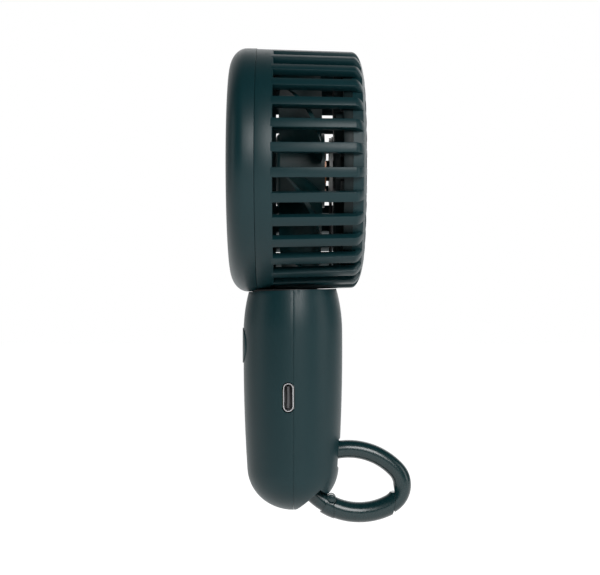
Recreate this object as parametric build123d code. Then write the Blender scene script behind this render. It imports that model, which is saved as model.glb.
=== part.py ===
from build123d import *
import math
import os

# Handheld rechargeable fan with a round slatted head, a rounded grip and a snap ring.
# Millimetres, +Z up, the fan blows towards -Y, the charging port faces +X.
# The origin is the middle of the grip, on its axis.

# Head, a drum about an axis along Y
grip_top_z = 35.7
head_radius = 39.0
head_taper = 0.95
head_front_y = -20.1
head_rear_y = 22.8
bezel_step = 0.2
bezel_corner = 7.0
bezel_corner_depth = 5.5
spigot_depth = 3.0
spigot_wall = 1.6
ledge_thickness = 1.5
bezel_seam_y = -11.4
bezel_seam_gap = 0.15
cage_wall = 2.4
cage_corner = 12.0
cage_corner_depth = 4.0
slot_start_y = -6.0
slat_count = 32
slat_width = 3.0
rib_inset = 2.8
rib_wall = 2.8
rib_front_y = 18.3
rib_setback = 0.4
rear_bar_width = 2.0
rear_mid_ring_outer = 25.0
rear_mid_ring_width = 1.8
rear_hub_radius = 16.0
hub_cap_radius = 14.0
hub_cap_thickness = 1.4
fit_gap = 0.1

# Front grille
grille_thickness = 2.2
grille_setback = 0.6
grille_ledge = 1.8
grille_rim = 1.6
grille_hub_radius = 11.0
grille_mid_ring_outer = 22.6
grille_mid_ring_width = 1.4
grille_bar_width = 1.3
grille_cap_radius = 9.0
grille_cap_proud = 0.5

# Impeller and motor
blade_count = 7
blade_phase = 11.0
blade_clearance = 2.0
blade_thickness = 1.3
blade_root_chord = 15.0
blade_tip_chord = 26.0
blade_root_pitch = 62.0
blade_tip_pitch = 27.0
blade_mid_washout = 3.0
blade_camber = 0.09
impeller_front_y = -5.3
impeller_rear_y = 10.2
hub_radius = 12.0
hub_wall = 1.6
bell_wall = 0.8
magnet_thickness = 1.3
air_gap = 0.4
shaft_radius = 1.0
shaft_rear_y = 14.6
bearing_radius = 2.5
bearing_length = 3.0
running_gap = 0.05
bearing_tube_wall = 0.8
bearing_seat_gap = 0.02
bearing_tube_lead = 0.6
bearing_tube_floor = 0.6
bearing_inset = 2.0
clip_gap = 0.2
clip_thickness = 0.5
clip_radius = 1.9
shaft_hub_cover = 0.6
press_gap = 0.01
bell_setback = 0.4
core_yoke = 1.1
core_tip_depth = 0.8
core_slot_opening = 0.7
coil_thickness = 0.55
coil_gap = 0.05
core_front_y = 0.4
core_rear_y = 9.4
core_teeth = 9
tooth_width = 1.5
winding_overhang = 1.3
driver_board_front_y = 11.7
driver_board_inset = 1.4
driver_board_thickness = 1.0
bracket_front_y = 13.2
bracket_plate = 2.0
bracket_radius = 13.0
vane_count = 11
vane_thickness = 1.3
ring_depth = 2.8
screw_count = 3
screw_radius = 0.8
screw_head_radius = 1.5
screw_head_height = 1.0
screw_end_gap = 1.0
screw_fit = 0.02

# Grip, a rounded column about the Z axis
grip_radius = 16.0
grip_belly_z = 23.0
grip_heel_radius = 14.8
grip_heel_z = -22.0
grip_toe_radius = 9.2
grip_toe_rise = 3.0
grip_bottom_z = -35.2
grip_shoulder_radius = 12.9
grip_shoulder_rise = 4.3
grip_wall = 1.8
grip_roof = 3.7
parting_y = 0.2
parting_gap = 0.16
rear_floor_z = -26.0
tenon_half = 3.9
tenon_bore = 2.2
tenon_rise = 0.4
neck_pad_rear = 4.0
neck_pad_side = 1.2
neck_pad_lip = 1.0

# Power button and its switch
button_z = 18.1
button_radius = 5.7
button_gap = 0.2
button_proud = 0.3
button_flange = 1.0
button_flange_thickness = 0.9
flange_depth = 2.1
button_travel = 0.4
stem_radius = 1.6

# Main board, charging socket, light and battery
board_rear_y = -3.0
board_thickness = 1.6
board_left_x = -10.0
board_right_x = 11.5
board_top_z = 30.5
board_bottom_z = -12.5
switch_size = 5.2
switch_height = 1.7
plunger_radius = 1.1
plunger_height = 1.2
plunger_depth = 1.0
socket_z = 2.3
socket_width = 8.94
socket_height = 3.26
socket_depth = 7.3
socket_wall = 0.3
socket_mouth_x = 15.3
socket_clearance = 0.35
tongue_width = 6.69
tongue_thickness = 0.7
tongue_setback = 0.9
tongue_root = 2.0
boss_radius = 2.2
upper_boss_z = 27.6
lower_boss_z = -9.0
pilot_depth = 6.0
screw_bite = 5.0
board_corner = 1.5
board_hole_gap = 0.2
chip_size = 4.0
chip_height = 1.0
controller_size = 6.0
coil_height = 2.0
parts_x = -5.5
controller_x = -1.0
charger_z = 16.0
choke_z = 8.0
controller_z = 1.0
light_pipe_radius = 0.9
light_pipe_z = 8.2
light_pipe_inset = 0.05
led_height = 0.8
led_size = 1.6
cell_thickness = 8.0
cell_width = 19.0
cell_height = 38.0
cell_front_y = 1.2
cell_bottom_z = -9.6
cell_seat_gap = 0.2
cell_corner = 1.5
shelf_thickness = 1.2
stop_thickness = 1.4
stop_inset = 1.5
stop_short = 6.0
wire_radius = 0.5
wire_spacing = 1.6
wire_bend = 1.6
battery_wire_rise = 1.6
battery_wire_bend = 1.0
battery_wire_x = 4.5
battery_wire_spacing = 2.0
lead_track_gap = 0.1
lead_end_inset = 1.0

# Snap ring, an oval in the plane X = 0, and the eye it hangs in
ring_centre_y = 19.8
ring_centre_z = -25.9
ring_half_length = 15.8
ring_half_height = 10.15
ring_tip_radius = 7.2
ring_tilt = 9.1
ring_tube_radius = 2.9
gate_tube_radius = 3.3
ring_swing = 45.0
eye_clearance = 0.9
eye_side_wall = 1.3
eye_wall = 1.4
gate_seam_angle = 14.0
gate_pivot_y = 12.5
gate_pivot_z = -31.7
gate_nose_radius = 20.6
gate_nose_gap = 0.12
gate_nose_z = -27.3
gate_nose_relief = 2.2
hinge_block_radius = 3.5
hinge_block_angle = 8.0
hinge_block_overrun = 5.0
cheek_radius = 1.5
cheek_half = 2.3
gate_tongue_radius = 1.4
gate_tongue_half = 1.0
gate_link_depth = 1.3
gate_link_length = 3.0
gate_slot_reach = 4.0
gate_gap = 0.25
pin_radius = 0.75
pin_head_radius = 1.15
pin_half_length = 2.0
pin_head_height = 0.5
gate_spring_radius = 0.8
gate_spring_length = 5.0
spring_angle = 9.0
notch_low_y = 0.6
notch_peak_y = 8.7
notch_peak_z = -27.6

# Places and sizes that follow from the ones above
far = 200.0
head_centre_z = grip_top_z + head_radius
head_rear_radius = head_radius - head_taper
rib_outer_radius = head_rear_radius - rib_inset
rib_inner_radius = rib_outer_radius - rib_wall
rear_mid_ring_inner = rear_mid_ring_outer - rear_mid_ring_width
grille_mid_ring_inner = grille_mid_ring_outer - grille_mid_ring_width
blade_tip_radius = head_rear_radius - cage_wall - blade_clearance
neck_top_z = head_centre_z - head_radius + cage_wall
grip_shoulder_z = grip_top_z + grip_shoulder_rise
grip_roof_z = grip_top_z - grip_roof
ring_side_radius = (
    (ring_half_length - ring_tip_radius) ** 2 + ring_half_height**2 - ring_tip_radius**2
) / (2 * (ring_half_height - ring_tip_radius))
slat_pitch = 360.0 / slat_count
head_axis = Pos(0, 0, head_centre_z)


def turned(points_and_edges):
    """Solid of revolution about the head's axis from edges drawn as (radius, Y)."""
    return head_axis * revolve(make_face(points_and_edges), Axis.Y, 360)


def tube_y(outer_radius, inner_radius, front_y, rear_y, at=head_axis):
    """Tube along Y between two Y positions."""
    length = rear_y - front_y
    body = Cylinder(outer_radius, length)
    if inner_radius > 0:
        body -= Cylinder(inner_radius, 2 * length)
    return at * Pos(0, (front_y + rear_y) / 2, 0) * Rot(90, 0, 0) * body


def block(x0, x1, y0, y1, z0, z1):
    """Box between two corners."""
    centre = Pos((x0 + x1) / 2, (y0 + y1) / 2, (z0 + z1) / 2)
    return centre * Box(x1 - x0, y1 - y0, z1 - z0)


def rod_x(radius, half_length, y, z):
    """Cylinder along X, centred on the plane X = 0."""
    return Pos(0, y, z) * Rot(0, 90, 0) * Cylinder(radius, 2 * half_length)


def around_head(shape, count, phase=0.0):
    """Copies of a shape, evenly turned about the head's axis."""
    step = 360.0 / count
    return [head_axis * Rot(0, phase + i * step, 0) * shape for i in range(count)]


def window(inner_radius, outer_radius, count, bar_width, front_y, rear_y):
    """Gap between two straight bars of equal width, pointing up from the head's axis."""
    half_pitch = math.radians(180.0 / count)

    def half_width(radius):
        return radius * math.tan(half_pitch) - bar_width / 2 / math.cos(half_pitch)

    low = half_width(inner_radius)
    high = half_width(outer_radius)
    outline = Polygon(
        (-low, inner_radius), (low, inner_radius), (high, outer_radius), (-high, outer_radius),
        align=None,
    )
    return Pos(0, front_y, 0) * extrude(Plane.XZ * outline, front_y - rear_y)


def cage_radius(y):
    """Outer radius of the tapering cage at a Y position."""
    share = (y - bezel_seam_y) / (head_rear_y - cage_corner_depth - bezel_seam_y)
    return head_radius + (head_rear_radius - head_radius) * share


def below_head():
    """All that lies under the lowest line of the head, as a prism along X."""
    bezel_z = head_centre_z - head_radius - bezel_step - fit_gap
    front_z = head_centre_z - cage_radius(bezel_seam_y) - fit_gap
    rear_z = head_centre_z - cage_radius(far) - fit_gap
    outline = Polygon(
        (-far, -far), (-far, bezel_z), (bezel_seam_y, bezel_z), (bezel_seam_y, front_z),
        (far, rear_z), (far, -far),
        align=None,
    )
    return extrude(Plane.YZ * outline, far, both=True)


# Head -----------------------------------------------------------------------------------

grille_outer_radius = head_radius + bezel_step - bezel_corner - fit_gap
grille_front_y = head_front_y + grille_setback
grille_rear_y = grille_front_y + grille_thickness


def front_bezel():
    """Rounded front ring with a ledge for the grille and a spigot into the cage."""
    outer = head_radius + bezel_step
    lip = outer - bezel_corner
    ledge = lip - grille_ledge
    spigot_end_y = bezel_seam_y + spigot_depth
    spigot_outer = cage_radius(spigot_end_y) - cage_wall - fit_gap
    spigot_inner = spigot_outer - spigot_wall
    ledge_rear = grille_rear_y + ledge_thickness
    edges = [
        Line((outer, bezel_seam_y), (outer, head_front_y + bezel_corner_depth)),
        EllipticalCenterArc(
            (lip, head_front_y + bezel_corner_depth), bezel_corner, bezel_corner_depth,
            start_angle=270, arc_size=90,
        ),
        Polyline(
            (lip, head_front_y), (lip, grille_rear_y), (ledge, grille_rear_y),
            (ledge, ledge_rear), (lip, ledge_rear),
        ),
        Line((lip, ledge_rear), (spigot_inner, head_front_y + bezel_corner)),
        Polyline(
            (spigot_inner, head_front_y + bezel_corner), (spigot_inner, spigot_end_y),
            (spigot_outer, spigot_end_y), (spigot_outer, bezel_seam_y), (outer, bezel_seam_y),
        ),
    ]
    return turned(Curve() + edges)


def front_grille():
    """Flat guard of straight radial bars between a rim, a middle ring and a hub disc."""
    disc = tube_y(grille_outer_radius, 0, grille_front_y, grille_rear_y)
    cut_front = grille_front_y - 1
    cut_rear = grille_rear_y + 1
    outer = window(
        grille_mid_ring_outer, grille_outer_radius - grille_rim,
        slat_count, grille_bar_width, cut_front, cut_rear,
    )
    inner = window(
        grille_hub_radius, grille_mid_ring_inner,
        slat_count // 2, grille_bar_width, cut_front, cut_rear,
    )
    cutters = around_head(outer, slat_count)
    cutters += around_head(inner, slat_count // 2, slat_pitch / 2 + slat_pitch)
    recess = tube_y(grille_cap_radius + fit_gap, 0, cut_front, grille_front_y + hub_cap_thickness)
    return disc.cut(*cutters, recess)


def grille_centre_cap():
    """Plain domed cap in the middle of the front grille."""
    seat_y = grille_front_y + hub_cap_thickness
    edge_y = grille_front_y + 0.2
    crown_y = grille_front_y - grille_cap_proud
    return turned(Curve() + [
        Polyline((0, crown_y), (0, seat_y), (grille_cap_radius, seat_y), (grille_cap_radius, edge_y)),
        TangentArc((0, crown_y), (grille_cap_radius, edge_y), tangent=(1, 0)),
    ])


def cage_profile():
    """Half section of the cage: side wall, rounded rear corner and rear wall."""
    front_y = bezel_seam_y + bezel_seam_gap
    flat_end_y = head_rear_y - cage_corner_depth
    rear_inner_y = head_rear_y - cage_wall
    front_outer = cage_radius(front_y)
    corner_centre = head_rear_radius - cage_corner
    outer_arc = EllipticalCenterArc(
        (corner_centre, flat_end_y), cage_corner, cage_corner_depth, start_angle=0, arc_size=90,
    )
    inner_arc = EllipticalCenterArc(
        (corner_centre, flat_end_y), cage_corner - cage_wall, cage_corner_depth - cage_wall,
        start_angle=0, arc_size=90,
    )
    return Curve() + [
        Line((front_outer, front_y), outer_arc @ 0),
        outer_arc,
        Polyline(outer_arc @ 1, (0, head_rear_y), (0, rear_inner_y), inner_arc @ 1),
        inner_arc,
        Polyline(inner_arc @ 0, (front_outer - cage_wall, front_y), (front_outer, front_y)),
    ]


def cage_outline(setback):
    """Half section of all that the cage encloses, its rear drawn in by a setback."""
    front_y = bezel_seam_y + bezel_seam_gap
    flat_end_y = head_rear_y - setback - cage_corner_depth
    corner_centre = head_rear_radius - cage_corner
    arc = EllipticalCenterArc(
        (corner_centre, flat_end_y), cage_corner, cage_corner_depth, start_angle=0, arc_size=90,
    )
    return Curve() + [
        Line((cage_radius(front_y), front_y), arc @ 0),
        arc,
        Polyline(
            arc @ 1, (0, head_rear_y - setback), (0, front_y), (cage_radius(front_y), front_y),
        ),
    ]


def motor_screw_angles():
    """Angles of the motor screws from straight up, clear of the lead's way down."""
    return [60.0 + i * 360.0 / screw_count for i in range(screw_count)]


screw_circle_radius = (rib_outer_radius + rib_inner_radius) / 2


def rear_cage():
    """Slatted drum with a barred rear wall, a seat for the motor bracket and a neck pad."""
    shell = turned(cage_profile())
    rib = tube_y(rib_outer_radius, rib_inner_radius, rib_front_y, head_rear_y)
    rib = rib & turned(cage_outline(rib_setback))
    slot = window(
        rib_outer_radius, head_radius + cage_wall, slat_count, slat_width, slot_start_y, head_rear_y + 2,
    )
    cut_front = head_rear_y - cage_wall - 1
    cut_rear = head_rear_y + 1
    outer = window(
        rear_mid_ring_outer, rib_inner_radius, slat_count, rear_bar_width, cut_front, cut_rear,
    )
    inner = window(
        rear_hub_radius, rear_mid_ring_inner, slat_count // 2, rear_bar_width, cut_front, cut_rear,
    )
    cutters = around_head(slot, slat_count)
    cutters += around_head(outer, slat_count)
    cutters += around_head(inner, slat_count // 2, slat_pitch / 2 + slat_pitch)
    cutters.append(tube_y(hub_cap_radius + fit_gap, 0, head_rear_y - hub_cap_thickness, cut_rear))
    pad_x = tenon_half + neck_pad_side
    pad_y = tenon_half + neck_pad_rear
    pad = block(-pad_x, pad_x, slot_start_y - neck_pad_lip, pad_y, 0, head_centre_z)
    pad = pad & turned(cage_profile())
    hole = tenon_half + fit_gap
    tenon_hole = block(-hole, hole, -hole, hole, 0, head_centre_z - blade_tip_radius)
    screws = [
        head_axis * Rot(0, angle, 0) * Pos(0, 0, screw_circle_radius) * tube_y(
            screw_radius, 0, rib_front_y - 1, head_rear_y - screw_end_gap, Pos(0, 0, 0)
        )
        for angle in motor_screw_angles()
    ]
    cage = shell.cut(*cutters) + rib + pad
    return cage.cut(tenon_hole, *screws)


def rear_hub_cap():
    """Flat round cap let into the middle of the rear wall."""
    return tube_y(hub_cap_radius, 0, head_rear_y - hub_cap_thickness, head_rear_y)


# Motor ----------------------------------------------------------------------------------

bell_outer_radius = hub_radius - hub_wall
bell_front_y = impeller_front_y + hub_wall
bell_inner_radius = bell_outer_radius - bell_wall
bell_rear_y = impeller_rear_y - bell_setback
magnet_inner_radius = bell_inner_radius - magnet_thickness
core_radius = magnet_inner_radius - air_gap
bearing_tube_inner = bearing_radius + bearing_seat_gap
bearing_tube_outer = bearing_tube_inner + bearing_tube_wall


def impeller():
    """Hub cup with curved, twisted blades."""
    hub = tube_y(hub_radius, 0, impeller_front_y, impeller_rear_y)
    hub = fillet(hub.edges().filter_by(GeomType.CIRCLE).sort_by(Axis.Y)[0], 0.85 * hub_wall)
    hub -= tube_y(bell_outer_radius + press_gap, 0, bell_front_y, impeller_rear_y + 1)
    hub -= tube_y(shaft_radius + press_gap, 0, impeller_front_y + shaft_hub_cover, impeller_rear_y)
    mid_y = (impeller_front_y + impeller_rear_y) / 2
    sections = []
    for radius, chord, pitch in (
        (hub_radius - hub_wall, blade_root_chord, blade_root_pitch),
        ((hub_radius + blade_tip_radius) / 2, (blade_root_chord + blade_tip_chord) / 2,
         (blade_root_pitch + blade_tip_pitch) / 2 - blade_mid_washout),
        (blade_tip_radius + blade_thickness, blade_tip_chord, blade_tip_pitch),
    ):
        half = chord / 2
        bow = chord * blade_camber
        outline = make_face(Curve() + [
            ThreePointArc((-half, 0), (0, bow + blade_thickness / 2), (half, 0)),
            ThreePointArc((-half, 0), (0, bow - blade_thickness / 2), (half, 0)),
        ])
        sections.append(
            Pos(0, mid_y, radius) * Rot(0, 0, pitch) * outline
        )
    blade = loft(sections)
    limit = tube_y(
        blade_tip_radius, hub_radius - hub_wall / 2, impeller_front_y, impeller_rear_y, Pos(0, 0, 0),
    )
    blade = blade & limit
    blades = around_head(blade, blade_count, blade_phase)
    return hub.fuse(*blades)


def rotor_bell():
    """Steel cup pressed into the hub."""
    cup = tube_y(bell_outer_radius, 0, bell_front_y, bell_rear_y)
    cup -= tube_y(bell_inner_radius, 0, bell_front_y + bell_wall, bell_rear_y + 1)
    return cup - tube_y(shaft_radius + press_gap, 0, bell_front_y - 1, bell_rear_y)


def magnet_ring():
    """Ring magnet inside the bell."""
    return tube_y(bell_inner_radius - press_gap, magnet_inner_radius, core_front_y, core_rear_y)


def motor_shaft():
    """Steel shaft from the hub's nose to behind the rear bearing."""
    return tube_y(shaft_radius, 0, impeller_front_y + shaft_hub_cover, shaft_rear_y)


bearing_tube_rear_y = bracket_front_y + bracket_plate
rear_bearing_y = bearing_tube_rear_y - bearing_inset - bearing_length


def shaft_clip():
    """Retaining washer on the shaft's rear end."""
    front = rear_bearing_y + bearing_length + clip_gap
    return tube_y(clip_radius, shaft_radius + press_gap, front, front + clip_thickness)


def bearing(front_y):
    """Sintered sleeve bearing."""
    return tube_y(bearing_radius, shaft_radius + running_gap, front_y, front_y + bearing_length)


def motor_bracket():
    """Plate and bearing tube, carried by guide vanes on an outer ring."""
    plate = tube_y(bracket_radius, 0, bracket_front_y, bearing_tube_rear_y)
    tube_front = core_front_y - bearing_tube_lead
    tube = tube_y(bearing_tube_outer, 0, tube_front, bracket_front_y)
    ring_front = rib_front_y - ring_depth
    ring = tube_y(rib_outer_radius, rib_inner_radius, ring_front, rib_front_y)
    vane = block(
        -vane_thickness / 2, vane_thickness / 2, bracket_front_y, rib_front_y,
        bracket_radius - vane_thickness, rib_inner_radius + rib_wall / 3,
    )
    vanes = around_head(vane, vane_count, 0)
    bracket = plate.fuse(tube, ring, *vanes)
    bore = tube_y(bearing_tube_inner, 0, tube_front - 1, bearing_tube_rear_y - bearing_tube_floor)
    holes = [
        head_axis * Rot(0, angle, 0) * Pos(0, 0, screw_circle_radius) * tube_y(
            screw_radius, 0, bracket_front_y - 1, rib_front_y + 1, Pos(0, 0, 0)
        )
        for angle in motor_screw_angles()
    ]
    return bracket.cut(bore, *holes)


def motor_screws():
    """Three screws that hold the bracket to the cage."""
    ring_front = rib_front_y - ring_depth
    shank_end = head_rear_y - 2 * screw_end_gap
    shank = tube_y(screw_radius - screw_fit, 0, ring_front, shank_end, Pos(0, 0, 0))
    head = tube_y(screw_head_radius, 0, ring_front - screw_head_height, ring_front, Pos(0, 0, 0))
    screw = shank + head
    return Compound(children=[
        head_axis * Rot(0, angle, 0) * Pos(0, 0, screw_circle_radius) * screw
        for angle in motor_screw_angles()
    ])


def stator_core():
    """Steel star with broad tooth tips."""
    core = tube_y(core_radius, bearing_tube_outer + bearing_seat_gap, core_front_y, core_rear_y)
    yoke_radius = bearing_tube_outer + core_yoke
    tip_radius = core_radius - core_tip_depth
    slot = window(yoke_radius, tip_radius, core_teeth, tooth_width, core_front_y - 1, core_rear_y + 1)
    opening = core_slot_opening / 2
    mouth = block(
        -opening, opening, core_front_y - 1, core_rear_y + 1,
        tip_radius - core_slot_opening, core_radius + 1,
    )
    cutters = around_head(slot, core_teeth, 180.0 / core_teeth)
    cutters += around_head(mouth, core_teeth, 180.0 / core_teeth)
    return core.cut(*cutters)


def stator_windings():
    """One copper coil round each tooth."""
    low = bearing_tube_outer + core_yoke + coil_thickness
    high = core_radius - core_tip_depth - coil_gap
    half = tooth_width / 2 + coil_gap
    front = core_front_y - winding_overhang
    rear = core_rear_y + winding_overhang
    coil = block(-half - coil_thickness, half + coil_thickness, front, rear, low, high)
    coil = fillet(coil.edges().filter_by(Axis.Z), coil_thickness)
    coil -= block(-half, half, core_front_y - coil_gap, core_rear_y + coil_gap, low - 1, high + 1)
    return Compound(children=around_head(coil, core_teeth, 0))


def motor_driver_board():
    """Round circuit board behind the coils."""
    return tube_y(
        hub_radius - driver_board_inset, bearing_tube_outer + fit_gap,
        driver_board_front_y, driver_board_front_y + driver_board_thickness,
    )


# Grip -----------------------------------------------------------------------------------

def grip_arcs():
    """Outline of the grip as tangent arcs, from the middle of the bottom up the side."""
    knots = [
        (grip_toe_radius, grip_bottom_z + grip_toe_rise),
        (grip_heel_radius, grip_heel_z),
        (grip_radius, grip_belly_z),
        (grip_shoulder_radius, grip_shoulder_z),
    ]
    arcs = []
    start = (0, grip_bottom_z)
    direction = (1, 0)
    for knot in knots:
        arc = TangentArc(start, knot, tangent=direction)
        arcs.append(arc)
        start = arc @ 1
        direction = arc % 1
    return arcs


def grip_solid(inset):
    """Solid of the grip, inset square to its outline; a negative inset makes it larger."""
    edges = []

    def inward(arc, position):
        along = arc % position
        return arc @ position + Vector(-along.Y, along.X) * inset

    for arc in grip_arcs():
        edges.append(TangentArc(inward(arc, 0), inward(arc, 1), tangent=arc % 0))
    top = edges[-1] @ 1
    bottom = edges[0] @ 0
    edges.append(Polyline(top, (0, top.Y), bottom))
    return Rot(90, 0, 0) * revolve(make_face(Curve() + edges), Axis.Y, 360)


def oval_edges(offset):
    """Four tangent arcs of the snap ring's oval, grown by an offset."""
    tip = ring_tip_radius + offset
    side = ring_side_radius + offset
    tip_x = ring_half_length - ring_tip_radius
    side_y = ring_side_radius - ring_half_height
    lean = math.degrees(math.atan2(side_y, tip_x))
    sweep_angle = 2 * (90 - lean)
    return [
        CenterArc((tip_x, 0), tip, -lean, 2 * lean),
        CenterArc((0, -side_y), side, lean, sweep_angle),
        CenterArc((-tip_x, 0), tip, 180 - lean, 2 * lean),
        CenterArc((0, side_y), side, 180 + lean, sweep_angle),
    ]


ring_plane = Plane.YZ * Pos(ring_centre_y, ring_centre_z) * Rot(0, 0, -ring_tilt)
tip_distance = ring_half_length - ring_tip_radius
eye_y = ring_centre_y - tip_distance * math.cos(math.radians(ring_tilt))
eye_z = ring_centre_z + tip_distance * math.sin(math.radians(ring_tilt))


def swung(shape, degrees):
    """A shape swung down about the eye's axis."""
    return Pos(0, eye_y, eye_z) * Rot(-degrees, 0, 0) * Pos(0, -eye_y, -eye_z) * shape


def oval_plate(offset, half_width, degrees=0.0):
    """Oval plate across the plane X = 0, swung down about the eye."""
    face = ring_plane * make_face(Curve() + oval_edges(offset))
    return swung(extrude(face, half_width, both=True), degrees)


channel_half = ring_tube_radius + eye_clearance


def eye_channel():
    """Room that the ring sweeps inside the grip, round the corner bar."""
    outer = oval_plate(channel_half, channel_half)
    outer += oval_plate(channel_half, channel_half, ring_swing)
    bar_offset = -(ring_tube_radius + eye_clearance / 2)
    bar = oval_plate(bar_offset, channel_half + 1)
    bar = bar & oval_plate(bar_offset, channel_half + 1, ring_swing)
    return outer - bar


def eye_housing():
    """Walls round the channel."""
    offset = channel_half + eye_wall
    half = channel_half + eye_side_wall
    return oval_plate(offset, half) + oval_plate(offset, half, ring_swing)


def corner_notch():
    """Notch across the bottom rear corner, where the ring's lower side comes out."""
    outline = Polygon(
        (notch_low_y, grip_bottom_z), (notch_peak_y, notch_peak_z),
        (far, notch_peak_z), (far, -far), (notch_low_y, -far),
        align=None,
    )
    cut = extrude(Plane.YZ * outline, far, both=True)
    return cut - oval_plate(-(ring_tube_radius + eye_clearance / 2), far + 1)


def socket_outline(grow, x0, x1):
    """Flat-sided slot with round ends, tall along Z, between two X positions."""
    centre_y = board_rear_y + socket_height / 2
    height = socket_width + 2 * grow
    width = socket_height + 2 * grow
    face = Plane.YZ * Pos(centre_y, socket_z) * Rot(0, 0, 90) * SlotOverall(height, width)
    return Pos(x0, 0, 0) * extrude(face, x1 - x0)


def screw_boss(z):
    """Post on the front shell that the main board is screwed to."""
    front = -grip_radius
    rear = board_rear_y - board_thickness
    return tube_y(boss_radius, 0, front, rear, Pos(0, 0, z))


def grip_halves():
    """Front and rear shells of the grip."""
    outside = grip_solid(0) & below_head()
    hollow = grip_solid(grip_wall) & block(-far, far, -far, far, -far, grip_roof_z)
    tenon_top = neck_top_z + tenon_rise
    tenon = block(-tenon_half, tenon_half, -tenon_half, tenon_half, grip_roof_z, tenon_top)
    wire_hole = block(
        -tenon_bore, tenon_bore, -tenon_bore, tenon_bore, grip_roof_z - 1, tenon_top + 1,
    )
    front_side = block(-far, far, -far, parting_y - parting_gap / 2, -far, far)
    rear_side = block(-far, far, parting_y + parting_gap / 2, far, -far, far)
    socket_cut = socket_outline(socket_clearance, socket_mouth_x - socket_depth, far)
    walls = (outside + tenon) - wire_hole

    front = walls.cut(hollow)
    bosses = [screw_boss(z) & outside for z in (upper_boss_z, lower_boss_z)]
    front = front.fuse(*bosses) & front_side
    pilots = [
        tube_y(screw_radius, 0, board_rear_y - board_thickness - pilot_depth, 0, Pos(0, 0, z))
        for z in (upper_boss_z, lower_boss_z)
    ]
    hole_end = -grip_radius / 2
    button_hole = tube_y(button_radius + button_gap, 0, -far, hole_end, Pos(0, 0, button_z))
    light_hole = tube_y(light_pipe_radius + running_gap, 0, -far, hole_end, Pos(0, 0, light_pipe_z))
    front = front.cut(socket_cut, button_hole, light_hole, *pilots)

    rear_hollow = hollow & block(-far, far, -far, far, rear_floor_z, far)
    rear = walls.cut(rear_hollow)
    shelf_top = cell_bottom_z - cell_seat_gap
    shelf = block(
        -cell_width / 2, cell_width / 2, cell_front_y, grip_radius,
        shelf_top - shelf_thickness, shelf_top,
    )
    stop_y = cell_front_y + cell_thickness + cell_seat_gap
    stop_x = cell_width / 2 - stop_inset
    stop_half = stop_thickness / 2
    stop_top = cell_bottom_z + cell_height - stop_short
    stops = [
        block(x - stop_half, x + stop_half, stop_y, grip_radius, shelf_top, stop_top)
        for x in (-stop_x, stop_x)
    ]
    rear = rear.fuse(eye_housing() & outside, shelf & outside, *[stop & outside for stop in stops])
    rear = (rear & rear_side).cut(socket_cut, eye_channel(), corner_notch())
    return front, rear


# Button ---------------------------------------------------------------------------------

flange_front_y = -(grip_radius - grip_wall) + flange_depth
switch_front_y = board_rear_y - board_thickness - switch_height
plunger_tip_y = switch_front_y - plunger_height


def power_button():
    """Round key that follows the grip's curve, with a flange and a stem behind it."""
    cap = tube_y(button_radius, 0, -far, flange_front_y, Pos(0, 0, button_z))
    cap = cap & grip_solid(-button_proud)
    flange_rear_y = flange_front_y + button_flange_thickness
    flange = tube_y(
        button_radius + button_flange, 0, flange_front_y, flange_rear_y, Pos(0, 0, button_z),
    )
    stem = tube_y(stem_radius, 0, flange_rear_y, plunger_tip_y, Pos(0, 0, button_z))
    return cap.fuse(flange, stem)


def switch_plunger():
    """Small plunger of the tactile switch."""
    return tube_y(plunger_radius, 0, plunger_tip_y, switch_front_y + plunger_depth, Pos(0, 0, button_z))


def tactile_switch():
    """Switch body on the main board, open where its plunger travels."""
    half = switch_size / 2
    body = block(
        -half, half, switch_front_y, board_rear_y - board_thickness,
        button_z - half, button_z + half,
    )
    bore = tube_y(
        plunger_radius + running_gap, 0, switch_front_y - 1,
        switch_front_y + plunger_depth + button_travel + fit_gap, Pos(0, 0, button_z),
    )
    return body - bore


# Electronics ----------------------------------------------------------------------------

def main_board():
    """Circuit board across the grip."""
    board = block(
        board_left_x, board_right_x, board_rear_y - board_thickness, board_rear_y,
        board_bottom_z, board_top_z,
    )
    board = fillet(board.edges().filter_by(Axis.Y), board_corner)
    holes = [
        tube_y(screw_radius + board_hole_gap, 0, -far, far, Pos(0, 0, z))
        for z in (upper_boss_z, lower_boss_z)
    ]
    return board.cut(*holes)


def board_screws():
    """Two screws through the main board into the bosses."""
    shank = tube_y(
        screw_radius - screw_fit, 0, board_rear_y - board_thickness - screw_bite, board_rear_y,
        Pos(0, 0, 0),
    )
    head = tube_y(
        screw_head_radius, 0, board_rear_y, board_rear_y + screw_head_height, Pos(0, 0, 0),
    )
    screw = shank + head
    return Compound(children=[Pos(0, 0, z) * screw for z in (upper_boss_z, lower_boss_z)])


def board_parts():
    """Charging chip, motor controller and coil on the rear of the main board."""
    parts = []
    for x, z, size, height in (
        (parts_x, charger_z, chip_size, chip_height),
        (controller_x, controller_z, controller_size, chip_height),
        (parts_x, choke_z, chip_size, coil_height),
    ):
        half = size / 2
        parts.append(block(x - half, x + half, board_rear_y, board_rear_y + height, z - half, z + half))
    return Compound(children=parts)


def usb_c_shell():
    """Drawn steel shell of the charging socket."""
    rear_x = socket_mouth_x - socket_depth
    shell = socket_outline(0, rear_x, socket_mouth_x)
    return shell - socket_outline(-socket_wall, rear_x - 1, socket_mouth_x + 1)


def usb_c_tongue():
    """Contact tongue on its block inside the shell."""
    rear_x = socket_mouth_x - socket_depth
    block_end = rear_x + tongue_root
    base = socket_outline(-socket_wall - press_gap, rear_x, block_end)
    centre_y = board_rear_y + socket_height / 2
    tongue = block(
        block_end, socket_mouth_x - tongue_setback,
        centre_y - tongue_thickness / 2, centre_y + tongue_thickness / 2,
        socket_z - tongue_width / 2, socket_z + tongue_width / 2,
    )
    return base + tongue


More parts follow.
